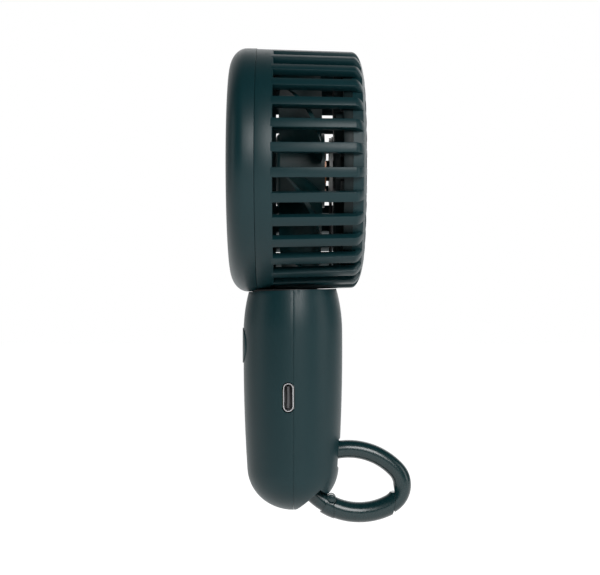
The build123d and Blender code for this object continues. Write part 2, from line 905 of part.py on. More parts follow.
def status_led():
    """Charge light on the front of the main board."""
    rear = board_rear_y - board_thickness
    half = led_size / 2
    return block(-half, half, rear - led_height, rear, light_pipe_z - half, light_pipe_z + half)


def light_pipe():
    """Clear rod from the charge light to the grip's front."""
    rear = board_rear_y - board_thickness - led_height - fit_gap
    rod = tube_y(light_pipe_radius, 0, -far, rear, Pos(0, 0, light_pipe_z))
    return rod & grip_solid(light_pipe_inset)


def battery_cell():
    """Flat lithium cell behind the main board."""
    cell = block(
        -cell_width / 2, cell_width / 2, cell_front_y, cell_front_y + cell_thickness,
        cell_bottom_z, cell_bottom_z + cell_height,
    )
    return fillet(cell.edges().filter_by(Axis.Z), cell_corner)


def wire(points, radius, bends):
    """Round wire along straight runs joined by tangent arcs."""
    path = FilletPolyline(*points, radius=bends)
    start = Plane(origin=path @ 0, z_dir=path % 0)
    return sweep(start * Circle(radius), path)


def battery_leads():
    """Two short leads from the cell's top to the main board."""
    cell_top = cell_bottom_z + cell_height
    rise = cell_top + battery_wire_rise
    middle_y = cell_front_y + cell_thickness / 2
    return Compound(children=[
        wire(
            [(x, middle_y, cell_top), (x, middle_y, rise), (x, board_rear_y, rise)],
            wire_radius, battery_wire_bend,
        )
        for x in (battery_wire_x, battery_wire_x + battery_wire_spacing)
    ])


def motor_leads():
    """Two leads from the driver board down the cage, through the neck to the main board."""
    start_y = driver_board_front_y + driver_board_thickness / 2
    board_edge_z = head_centre_z - (hub_radius - driver_board_inset)
    floor_z = head_centre_z - (head_rear_radius - cage_wall - wire_radius + lead_track_gap)
    end_z = board_top_z - lead_end_inset
    leads = []
    for x in (-wire_spacing / 2, wire_spacing / 2):
        leads.append(wire(
            [
                (x, start_y, board_edge_z), (x, start_y, floor_z), (x, parting_y, floor_z),
                (x, parting_y, end_z), (x, board_rear_y, end_z),
            ],
            wire_radius, wire_bend,
        ))
    return Compound(children=leads)


# Snap ring ------------------------------------------------------------------------------

def oval_point(arc_index, angle):
    """Point on one of the oval's arcs, by its angle about that arc's centre."""
    tip_x = ring_half_length - ring_tip_radius
    side_y = ring_side_radius - ring_half_height
    centre, radius = {
        "right": ((tip_x, 0), ring_tip_radius),
        "bottom": ((0, side_y), ring_side_radius),
    }[arc_index]
    radians = math.radians(angle)
    return (centre[0] + radius * math.cos(radians), centre[1] + radius * math.sin(radians))


def to_yz(point):
    """Y and Z of a point given in the oval's own axes."""
    turn = math.radians(ring_tilt)
    y = ring_centre_y + point[0] * math.cos(turn) + point[1] * math.sin(turn)
    z = ring_centre_z - point[0] * math.sin(turn) + point[1] * math.cos(turn)
    return y, z


seam_y, seam_z = to_yz(oval_point("bottom", 270 - gate_seam_angle))


def tube_along(edges, radius):
    """Round bar along arcs drawn in the oval's own axes."""
    pieces = []
    for edge in edges:
        path = ring_plane * edge
        start = Plane(origin=path @ 0, z_dir=path % 0)
        pieces.append(sweep(start * Circle(radius), path))
    return pieces[0].fuse(*pieces[1:]) if len(pieces) > 1 else pieces[0]


def oval_arc_set():
    """The oval's arc centres and the angle where its arcs meet."""
    tip_x = ring_half_length - ring_tip_radius
    side_y = ring_side_radius - ring_half_height
    return tip_x, side_y, math.degrees(math.atan2(side_y, tip_x))


def about_pivot(radius, half_length):
    """Cylinder along X about the gate's pivot."""
    return rod_x(radius, half_length, gate_pivot_y, gate_pivot_z)


def rivet_sinks():
    """Recesses for the rivet's heads in the cheeks."""
    bore = about_pivot(pin_head_radius + running_gap, far)
    return bore - about_pivot(pin_head_radius + 1, pin_half_length - running_gap)


def carabiner_ring():
    """Open oval ring that ends in a thicker block, slotted for the gate's tongue."""
    tip_x, side_y, lean = oval_arc_set()
    body = tube_along([
        CenterArc((tip_x, 0), ring_tip_radius, -lean, 2 * lean),
        CenterArc((0, -side_y), ring_side_radius, lean, 2 * (90 - lean)),
        CenterArc((-tip_x, 0), ring_tip_radius, 180 - lean, 2 * lean),
        CenterArc((0, side_y), ring_side_radius, 180 + lean, 90 - lean - gate_seam_angle),
    ], ring_tube_radius)
    lower_right = block(-far, far, seam_y, far, -far, gate_nose_z)
    body = body - (about_pivot(gate_nose_radius, far) & lower_right)
    first = 270 - gate_seam_angle - hinge_block_angle
    thick = tube_along([
        CenterArc((0, side_y), ring_side_radius, first, hinge_block_angle + hinge_block_overrun),
    ], hinge_block_radius)
    thick = thick & block(-far, far, -far, seam_y, -far, far)
    slot_half = gate_tongue_half + fit_gap
    slot_gap = gate_tongue_radius + gate_gap
    slot = block(
        -slot_half, slot_half, gate_pivot_y - slot_gap, gate_pivot_y + gate_slot_reach,
        gate_pivot_z - slot_gap, gate_pivot_z + gate_slot_reach,
    )
    body = body.fuse(thick, about_pivot(cheek_radius, cheek_half))
    return body.cut(slot, about_pivot(pin_radius + running_gap, far), rivet_sinks(), spring_bore())


def spring_axis():
    """Start and direction of the gate spring, along the ring behind the hinge."""
    angle = 270 - gate_seam_angle - spring_angle
    y, z = to_yz(oval_point("bottom", angle))
    before_y, before_z = to_yz(oval_point("bottom", angle - spring_angle))
    return (0, y, z), (0, before_y - y, before_z - z)


def spring_bore():
    """Blind bore for the gate spring."""
    origin, direction = spring_axis()
    return Plane(origin=origin, z_dir=direction) * Pos(0, 0, gate_spring_length / 2) * Cylinder(
        gate_spring_radius + running_gap, gate_spring_length + fit_gap
    )


def gate_spring():
    """Spring, drawn as its outer cylinder, sealed in the ring behind the hinge."""
    origin, direction = spring_axis()
    return Plane(origin=origin, z_dir=direction) * Pos(0, 0, gate_spring_length / 2) * Cylinder(
        gate_spring_radius, gate_spring_length
    )


def carabiner_gate():
    """Sprung gate: a slightly thicker bar with a flat tongue on the rivet."""
    tip_x, side_y, lean = oval_arc_set()
    first = gate_seam_angle + hinge_block_overrun
    tube = tube_along([
        CenterArc((0, side_y), ring_side_radius, 270 - first, 90 - lean + first),
        CenterArc((tip_x, 0), ring_tip_radius, -lean, lean),
    ], gate_tube_radius)
    bar = tube & block(
        -far, far, seam_y + gate_gap, far, -far, gate_nose_z - gate_nose_relief,
    )
    bar = bar & about_pivot(gate_nose_radius - gate_nose_gap, far)
    bar = bar - about_pivot(cheek_radius + gate_gap, far)
    link = tube & block(
        -gate_tongue_half, gate_tongue_half, gate_pivot_y, gate_pivot_y + gate_link_length,
        gate_pivot_z - gate_link_depth, gate_pivot_z + gate_tongue_radius,
    )
    gate = bar.fuse(link, about_pivot(gate_tongue_radius, gate_tongue_half))
    return gate.cut(about_pivot(pin_radius + running_gap, far))


def gate_pin():
    """Rivet through the gate's hinge."""
    shank = about_pivot(pin_radius, pin_half_length)
    heads = [
        Pos(side * (pin_half_length + pin_head_height / 2), gate_pivot_y, gate_pivot_z)
        * Rot(0, 90, 0) * Cylinder(pin_head_radius, pin_head_height)
        for side in (-1, 1)
    ]
    return shank.fuse(*heads)


# Written pieces ---------------------------------------------------------------------------

def build():
    """Every node by name."""
    front_shell, rear_shell = grip_halves()
    return {
        "front_bezel": front_bezel(),
        "front_grille": front_grille(),
        "grille_centre_cap": grille_centre_cap(),
        "rear_cage": rear_cage(),
        "rear_hub_cap": rear_hub_cap(),
        "motor_bracket": motor_bracket(),
        "motor_screws": motor_screws(),
        "stator_core": stator_core(),
        "stator_windings": stator_windings(),
        "motor_driver_board": motor_driver_board(),
        "front_bearing": bearing(core_front_y),
        "rear_bearing": bearing(rear_bearing_y),
        "impeller": impeller(),
        "rotor_bell": rotor_bell(),
        "magnet_ring": magnet_ring(),
        "motor_shaft": motor_shaft(),
        "shaft_clip": shaft_clip(),
        "grip_front_shell": front_shell,
        "grip_rear_shell": rear_shell,
        "power_button": power_button(),
        "switch_plunger": switch_plunger(),
        "tactile_switch": tactile_switch(),
        "main_board": main_board(),
        "board_screws": board_screws(),
        "board_parts": board_parts(),
        "usb_c_shell": usb_c_shell(),
        "usb_c_tongue": usb_c_tongue(),
        "status_led": status_led(),
        "light_pipe": light_pipe(),
        "battery_cell": battery_cell(),
        "battery_leads": battery_leads(),
        "motor_leads": motor_leads(),
        "carabiner_ring": carabiner_ring(),
        "carabiner_gate": carabiner_gate(),
        "gate_pin": gate_pin(),
        "gate_spring": gate_spring(),
    }


os.makedirs("parts", exist_ok=True)
for node, shape in build().items():
    export_step(shape, f"parts/{node}.step")
    print(node, round(shape.volume, 2))
print("eye", round(eye_y, 3), round(eye_z, 3))
print("gate hinge", round(gate_pivot_y, 3), round(gate_pivot_z, 3))
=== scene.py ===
"""Looks of a handheld rechargeable fan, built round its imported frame.

Metres, +Z up, the fan blows towards -Y and the charging port faces +X.
"""

from __future__ import annotations

import logging
import math
from dataclasses import dataclass, field
from enum import Enum

import bmesh
import bpy
from mathutils import Matrix, Vector

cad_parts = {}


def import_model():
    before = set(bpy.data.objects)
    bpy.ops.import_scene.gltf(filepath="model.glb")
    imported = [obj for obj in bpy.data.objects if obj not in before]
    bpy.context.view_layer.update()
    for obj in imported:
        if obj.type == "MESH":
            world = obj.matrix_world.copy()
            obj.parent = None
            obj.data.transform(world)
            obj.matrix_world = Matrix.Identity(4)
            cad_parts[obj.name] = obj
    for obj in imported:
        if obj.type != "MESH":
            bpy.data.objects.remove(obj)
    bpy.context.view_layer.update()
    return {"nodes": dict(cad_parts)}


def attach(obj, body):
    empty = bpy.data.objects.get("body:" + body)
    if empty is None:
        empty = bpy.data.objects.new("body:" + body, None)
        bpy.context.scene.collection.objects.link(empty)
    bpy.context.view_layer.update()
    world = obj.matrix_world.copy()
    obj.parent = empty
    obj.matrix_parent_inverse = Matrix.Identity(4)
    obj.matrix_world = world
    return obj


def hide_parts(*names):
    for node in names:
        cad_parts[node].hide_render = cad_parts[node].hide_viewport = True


LOG = logging.getLogger("fan")
MM = 0.001
HEAD_AXIS = Vector((0.0, 0.0, 74.7 * MM))
WELD = 0.001 * MM
SAME_PLACE = 0.01 * MM
SHARP_ANGLE = 32.0
BAND_STEPS = 6.5
GRAIN_STRETCH = 0.04
RELIEF_RANGE = (0.25, 0.75)
COAT_ROUGHNESS = 0.12

Colour = tuple[float, float, float, float]
Profile = list[tuple[float, float]]


class Body(Enum):
    """Moving bodies of the frame."""

    HOUSING = "housing"
    ROTOR = "rotor"
    BUTTON = "button"
    RING = "ring"
    GATE = "gate"


class Texture(Enum):
    """Relief of a finish."""

    GRAIN = "grain"
    BRUSHED = "brushed"
    STACKED = "stacked"
    CRINKLED = "crinkled"
    PLAIN = "plain"


# Finishes -------------------------------------------------------------------------------


@dataclass(frozen=True)
class Finish:
    """A surface finish that becomes one procedural material."""

    name: str
    slot: str
    tone: Colour
    shade: Colour
    roughness: tuple[float, float] = (0.4, 0.5)
    metallic: float = 0.0
    texture: Texture = Texture.GRAIN
    relief_size: float = 0.4 * MM
    relief_depth: float = 0.02 * MM
    relief_strength: float = 0.5
    mottle_size: float = 12 * MM
    coat: float = 0.0
    transmission: float = 0.0
    specular: float = 0.5

    def build(self) -> bpy.types.Material:
        """Make the material, or return the one already made.

        Returns:
            The material of this finish.
        """
        made = bpy.data.materials.get(self.name)
        if made is not None:
            return made
        material = bpy.data.materials.new(self.name)
        material.use_nodes = True
        tree = material.node_tree
        shader = tree.nodes["Principled BSDF"]
        shader.inputs["Metallic"].default_value = self.metallic
        shader.inputs["Coat Weight"].default_value = self.coat
        shader.inputs["Coat Roughness"].default_value = COAT_ROUGHNESS
        shader.inputs["Transmission Weight"].default_value = self.transmission
        shader.inputs["Specular IOR Level"].default_value = self.specular
        place = tree.nodes.new("ShaderNodeTexCoord")
        mottle = self._noise(tree, place, 1.0 / self.mottle_size, 4.0)
        blend = tree.nodes.new("ShaderNodeMix")
        blend.data_type = "RGBA"
        blend.inputs["A"].default_value = self.tone
        blend.inputs["B"].default_value = self.shade
        tree.links.new(mottle.outputs["Fac"], blend.inputs["Factor"])
        tree.links.new(blend.outputs["Result"], shader.inputs["Base Color"])
        height = self._relief(tree, place)
        gloss = tree.nodes.new("ShaderNodeMapRange")
        gloss.inputs["From Min"].default_value = RELIEF_RANGE[0]
        gloss.inputs["From Max"].default_value = RELIEF_RANGE[1]
        gloss.inputs["To Min"].default_value = self.roughness[0]
        gloss.inputs["To Max"].default_value = self.roughness[1]
        tree.links.new(height, gloss.inputs["Value"])
        tree.links.new(gloss.outputs["Result"], shader.inputs["Roughness"])
        bump = tree.nodes.new("ShaderNodeBump")
        bump.inputs["Strength"].default_value = self.relief_strength
        bump.inputs["Distance"].default_value = self.relief_depth
        tree.links.new(height, bump.inputs["Height"])
        tree.links.new(bump.outputs["Normal"], shader.inputs["Normal"])
        return material

    def _noise(
        self, tree: bpy.types.NodeTree, place: bpy.types.Node, scale: float, detail: float,
        stretch: tuple[float, float, float] = (1.0, 1.0, 1.0),
    ) -> bpy.types.Node:
        """Add a noise texture on Object coordinates.

        Args:
            tree: Node tree of the material.
            place: Texture Coordinate node.
            scale: Cells per metre.
            detail: Octaves of the noise.
            stretch: Scale of each axis before the noise.

        Returns:
            The noise node.
        """
        mapping = tree.nodes.new("ShaderNodeMapping")
        mapping.inputs["Scale"].default_value = stretch
        noise = tree.nodes.new("ShaderNodeTexNoise")
        noise.inputs["Scale"].default_value = scale
        noise.inputs["Detail"].default_value = detail
        tree.links.new(place.outputs["Object"], mapping.inputs["Vector"])
        tree.links.new(mapping.outputs["Vector"], noise.inputs["Vector"])
        return noise

    def _relief(self, tree: bpy.types.NodeTree, place: bpy.types.Node) -> bpy.types.NodeSocket:
        """Add the height pattern of this finish.

        Args:
            tree: Node tree of the material.
            place: Texture Coordinate node.

        Returns:
            The socket that carries the height, 0 to 1.
        """
        scale = 1.0 / self.relief_size
        if self.texture is Texture.BRUSHED:
            return self._noise(tree, place, scale, 2.0, (1.0, GRAIN_STRETCH, 1.0)).outputs["Fac"]
        if self.texture is Texture.STACKED:
            wave = tree.nodes.new("ShaderNodeTexWave")
            wave.bands_direction = "Y"
            wave.inputs["Scale"].default_value = scale / BAND_STEPS
            wave.inputs["Distortion"].default_value = 0.4
            tree.links.new(place.outputs["Object"], wave.inputs["Vector"])
            return wave.outputs["Fac"]
        if self.texture is Texture.CRINKLED:
            cells = tree.nodes.new("ShaderNodeTexVoronoi")
            cells.feature = "SMOOTH_F1"
            cells.inputs["Scale"].default_value = scale
            tree.links.new(place.outputs["Object"], cells.inputs["Vector"])
            return cells.outputs["Distance"]
        detail = 1.0 if self.texture is Texture.PLAIN else 3.0
        return self._noise(tree, place, scale, detail).outputs["Fac"]


class Finishes:
    """Every finish of the fan, by the record's material slots."""

    CASING = Finish(
        "casing_finish", "casing", (0.0025, 0.030, 0.036, 1), (0.004, 0.036, 0.043, 1), (0.34, 0.48),
        relief_size=0.32 * MM, relief_depth=0.03 * MM, relief_strength=0.4, specular=0.38,
    )
    SATIN = Finish(
        "satin_finish", "casing", (0.0025, 0.030, 0.036, 1), (0.004, 0.035, 0.042, 1), (0.36, 0.43),
        relief_size=0.25 * MM, relief_depth=0.012 * MM, relief_strength=0.25, specular=0.38,
    )
    INNER = Finish(
        "inner_finish", "inner_plastic", (0.001, 0.008, 0.009, 1), (0.002, 0.011, 0.012, 1), (0.45, 0.6),
        specular=0.3,
    )
    BLADES = Finish(
        "blades_finish", "impeller_plastic", (0.002, 0.026, 0.029, 1), (0.003, 0.031, 0.035, 1),
        (0.34, 0.42), specular=0.3,
        relief_size=0.8 * MM, relief_depth=0.006 * MM,
    )
    BUTTON = Finish(
        "button_finish", "button", (0.0025, 0.030, 0.036, 1), (0.004, 0.036, 0.043, 1), (0.34, 0.46),
        relief_size=0.32 * MM, relief_depth=0.03 * MM, relief_strength=0.35, specular=0.38,
    )
    RING_PAINT = Finish(
        "ring_paint_finish", "ring_paint", (0.003, 0.030, 0.034, 1), (0.004, 0.034, 0.039, 1), (0.24, 0.30),
        texture=Texture.PLAIN, relief_size=0.9 * MM, relief_depth=0.001 * MM, relief_strength=0.1, coat=0.2,
    )
    STEEL = Finish(
        "steel_finish", "steel", (0.60, 0.60, 0.62, 1), (0.52, 0.52, 0.54, 1), (0.2, 0.34), 1.0,
        Texture.BRUSHED, 0.3 * MM, 0.01 * MM,
    )
    PORT_STEEL = Finish(
        "port_steel_finish", "port_steel", (0.62, 0.62, 0.63, 1), (0.55, 0.55, 0.57, 1), (0.22, 0.34), 1.0,
        Texture.BRUSHED, 0.25 * MM, 0.01 * MM,
    )
    LAMINATION = Finish(
        "lamination_finish", "lamination", (0.35, 0.35, 0.37, 1), (0.28, 0.28, 0.30, 1), (0.3, 0.5), 1.0,
        Texture.STACKED, 0.35 * MM, 0.05 * MM,
    )
    COPPER = Finish(
        "copper_finish", "copper", (0.30, 0.14, 0.07, 1), (0.26, 0.11, 0.05, 1), (0.3, 0.4), 1.0,
        Texture.PLAIN, 0.6 * MM, 0.01 * MM, coat=0.5,
    )
    BRONZE = Finish(
        "bronze_finish", "bronze", (0.55, 0.38, 0.20, 1), (0.46, 0.31, 0.16, 1), (0.35, 0.5), 1.0,
        Texture.GRAIN, 0.2 * MM, 0.01 * MM,
    )
    MAGNET = Finish(
        "magnet_finish", "magnet", (0.05, 0.05, 0.055, 1), (0.07, 0.07, 0.075, 1), (0.5, 0.65), 0.0,
        Texture.GRAIN, 0.25 * MM, 0.01 * MM,
    )
    DRIVER_BOARD = Finish(
        "driver_board_finish", "driver_board", (0.78, 0.79, 0.77, 1), (0.70, 0.71, 0.69, 1), (0.3, 0.4), 0.0,
        Texture.PLAIN, 1.0 * MM, 0.01 * MM,
    )
    CIRCUIT_BOARD = Finish(
        "circuit_board_finish", "circuit_board", (0.01, 0.11, 0.035, 1), (0.015, 0.15, 0.05, 1),
        (0.28, 0.4), 0.0,
        Texture.PLAIN, 1.2 * MM, 0.02 * MM, mottle_size=3 * MM,
    )
    BLACK = Finish(
        "black_finish", "black_plastic", (0.012, 0.012, 0.013, 1), (0.018, 0.018, 0.019, 1), (0.4, 0.55), 0.0,
        Texture.GRAIN, 0.3 * MM, 0.01 * MM,
    )
    FOIL = Finish(
        "foil_finish", "cell_foil", (0.68, 0.69, 0.70, 1), (0.60, 0.61, 0.62, 1), (0.25, 0.4), 0.9,
        Texture.CRINKLED, 2.2 * MM, 0.06 * MM,
    )
    WIRE = Finish(
        "wire_finish", "wire", (0.02, 0.02, 0.022, 1), (0.03, 0.03, 0.032, 1), (0.35, 0.45), 0.0,
        Texture.PLAIN, 0.8 * MM, 0.01 * MM,
    )
    TONGUE = Finish(
        "tongue_finish", "black_plastic", (0.10, 0.10, 0.105, 1), (0.13, 0.13, 0.135, 1), (0.4, 0.5), 0.0,
        Texture.GRAIN, 0.3 * MM, 0.01 * MM,
    )
    LED = Finish(
        "led_finish", "led", (0.85, 0.82, 0.55, 1), (0.80, 0.78, 0.52, 1), (0.15, 0.2), 0.0,
        Texture.PLAIN, 0.5 * MM, 0.005 * MM,
    )
    CLEAR = Finish(
        "clear_finish", "clear_plastic", (0.90, 0.92, 0.92, 1), (0.86, 0.89, 0.89, 1), (0.08, 0.15), 0.0,
        Texture.PLAIN, 0.8 * MM, 0.005 * MM, transmission=0.9,
    )


# Mesh helpers ---------------------------------------------------------------------------


def dress(piece: bpy.types.Object, finish: Finish) -> None:
    """Give every material slot of a piece one finish.

    Args:
        piece: Object with a mesh.
        finish: Finish to assign.
    """
    material = finish.build()
    if not piece.material_slots:
        piece.data.materials.append(material)
    for place in piece.material_slots:
        place.material = material


def add_piece(
    name: str, mesh: bmesh.types.BMesh, finish: Finish, body: Body, replaced: tuple[str, ...] = (),
    smooth_angle: float = 35.0,
) -> bpy.types.Object:
    """Turn a bmesh into a finished piece that rides on a body.

    Args:
        name: Name of the new object.
        mesh: Mesh in the row frame, which is freed.
        finish: Finish of the whole piece.
        body: Body that carries the piece.
        replaced: CAD nodes that the piece stands for.
        smooth_angle: Edges flatter than this many degrees are shaded smooth.

    Returns:
        The new object.
    """
    for face in mesh.faces:
        face.smooth = True
    limit = math.radians(smooth_angle)
    for edge in mesh.edges:
        edge.smooth = edge.calc_face_angle(0.0) < limit
    data = bpy.data.meshes.new(name)
    mesh.to_mesh(data)
    mesh.free()
    piece = bpy.data.objects.new(name, data)
    bpy.context.scene.collection.objects.link(piece)
    dress(piece, finish)
    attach(piece, body.value)
    if replaced:
        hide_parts(*replaced)
    LOG.info("%s: %d faces", name, len(data.polygons))
    return piece


def eased_copy(
    mesh: bmesh.types.BMesh, width: float, segments: int = 2, flatness: float = 0.4,
) -> bmesh.types.BMesh:
    """Join the triangles of a solid into plain faces and round its sharp edges.

    Args:
        mesh: Mesh of the solid, which is changed.
        width: Width of the rounding.
        segments: Faces across each rounding.
        flatness: Angle below which neighbouring faces are joined, in degrees.

    Returns:
        The same mesh, eased.
    """
    bmesh.ops.remove_doubles(mesh, verts=mesh.verts, dist=WELD)
    bmesh.ops.dissolve_limit(
        mesh, angle_limit=math.radians(flatness), verts=mesh.verts, edges=mesh.edges,
    )
    rounded(mesh, width, segments)
    return mesh


def arc(
    centre: tuple[float, float], radii: tuple[float, float], start: float, end: float,
    steps: int = 8,
) -> Profile:
    """Sample an elliptical arc of a half section.

    Args:
        centre: Radius and Y of the arc's centre.
        radii: Its radii along the section's radius and along Y.
        start: First angle, in degrees.
        end: Last angle, in degrees.
        steps: Number of chords.

    Returns:
        Points of the section, from start to end.
    """
    points = []
    for step in range(steps + 1):
        angle = math.radians(start + (end - start) * step / steps)
        points.append(
            (centre[0] + radii[0] * math.cos(angle), centre[1] + radii[1] * math.sin(angle))
        )
    return points


def section_face(mesh: bmesh.types.BMesh, section: Profile) -> bmesh.types.BMFace:
    """Lay a half section in the plane X = 0, straight up from the head's axis.

    Args:
        mesh: Mesh that gets the face.
        section: Radius and Y of each corner, in millimetres.

    Returns:
        The new face.
    """
    corners = [
        mesh.verts.new((0.0, y * MM, HEAD_AXIS.z + radius * MM)) for radius, y in section
    ]
    return mesh.faces.new(corners)


def turned(mesh: bmesh.types.BMesh, section: Profile, steps: int = 160) -> None:
    """Turn a closed half section once round the head's axis.

    Args:
        mesh: Mesh that gets the ring.
        section: Radius and Y of each corner, in millimetres.
        steps: Number of steps round the circle.
    """
    ring = bmesh.new()
    face = section_face(ring, section)
    edges = list(face.edges)
    verts = list(face.verts)
    ring.faces.remove(face)
    bmesh.ops.spin(
        ring, geom=verts + edges, cent=HEAD_AXIS, axis=(0, 1, 0), angle=math.tau,
        steps=steps, use_merge=True,
    )
    bmesh.ops.remove_doubles(ring, verts=ring.verts, dist=WELD)
    bmesh.ops.dissolve_degenerate(ring, edges=ring.edges, dist=WELD)
    bmesh.ops.recalc_face_normals(ring, faces=ring.faces)
    join(mesh, ring)


def join(mesh: bmesh.types.BMesh, other: bmesh.types.BMesh) -> None:
    """Add a mesh to another and free it.

    Args:
        mesh: Mesh that grows.
        other: Mesh that is added.
    """
    data = bpy.data.meshes.new("joined")
    other.to_mesh(data)
    other.free()
    mesh.from_mesh(data)
    bpy.data.meshes.remove(data)


def rounded(mesh: bmesh.types.BMesh, width: float, segments: int = 2) -> None:
    """Round every sharp edge.

    Args:
        mesh: Mesh to round.
        width: Width of the rounding.
        segments: Faces across it.
    """
    limit = math.radians(SHARP_ANGLE)
    sharp = [edge for edge in mesh.edges if edge.is_manifold and edge.calc_face_angle(0.0) > limit]
    bmesh.ops.bevel(
        mesh, geom=sharp, offset=width, offset_type="OFFSET", segments=segments, profile=0.5,
        affect="EDGES", material=-1, clamp_overlap=True, loop_slide=True,
    )


def radial_bars(
    mesh: bmesh.types.BMesh, section: Profile, width: float, count: int, phase: float,
    edge: float,
) -> None:
    """Set equal straight bars round the head's axis.

    Args:
        mesh: Mesh that gets the bars.
        section: Half section of a bar, in millimetres.
        width: Width of a bar, in metres.
        count: Number of bars.
        phase: Angle of the first bar from straight up, in degrees.
        edge: Width of the rounding along a bar's edges.
    """
    bars = bmesh.new()
    face = section_face(bars, section)
    grown = bmesh.ops.extrude_face_region(bars, geom=[face])
    top = [item for item in grown["geom"] if isinstance(item, bmesh.types.BMVert)]
    bmesh.ops.translate(bars, verts=top, vec=(width, 0, 0))
    bmesh.ops.translate(bars, verts=bars.verts, vec=(-width / 2, 0, 0))
    bmesh.ops.recalc_face_normals(bars, faces=bars.faces)
    rounded(bars, edge)
    bmesh.ops.rotate(
        bars, cent=HEAD_AXIS, matrix=Matrix.Rotation(math.radians(phase), 3, "Y"), verts=bars.verts,
    )
    bmesh.ops.spin(
        bars, geom=bars.verts[:] + bars.edges[:] + bars.faces[:], cent=HEAD_AXIS, axis=(0, 1, 0),
        angle=math.tau * (count - 1) / count, steps=count - 1, use_duplicate=True,
    )
    join(mesh, bars)


# Studio ---------------------------------------------------------------------------------


@dataclass
class Softbox:
    """A large soft lamp aimed at the fan."""

    name: str
    place: tuple[float, float, float]
    width: float
    height: float
    radiance: float

    def build(self, target: Vector) -> None:
        """Add the lamp.

        Args:
            target: Point that the lamp faces.
        """
        lamp = bpy.data.lights.new(self.name, "AREA")
        lamp.shape = "RECTANGLE"
        lamp.size = self.width
        lamp.size_y = self.height
        lamp.energy = self.radiance * math.pi * self.width * self.height
        holder = bpy.data.objects.new(self.name, lamp)
        holder.location = self.place
        aim = target - Vector(self.place)
        holder.rotation_euler = aim.to_track_quat("-Z", "Y").to_euler()
        holder.visible_camera = False
        bpy.context.scene.collection.objects.link(holder)


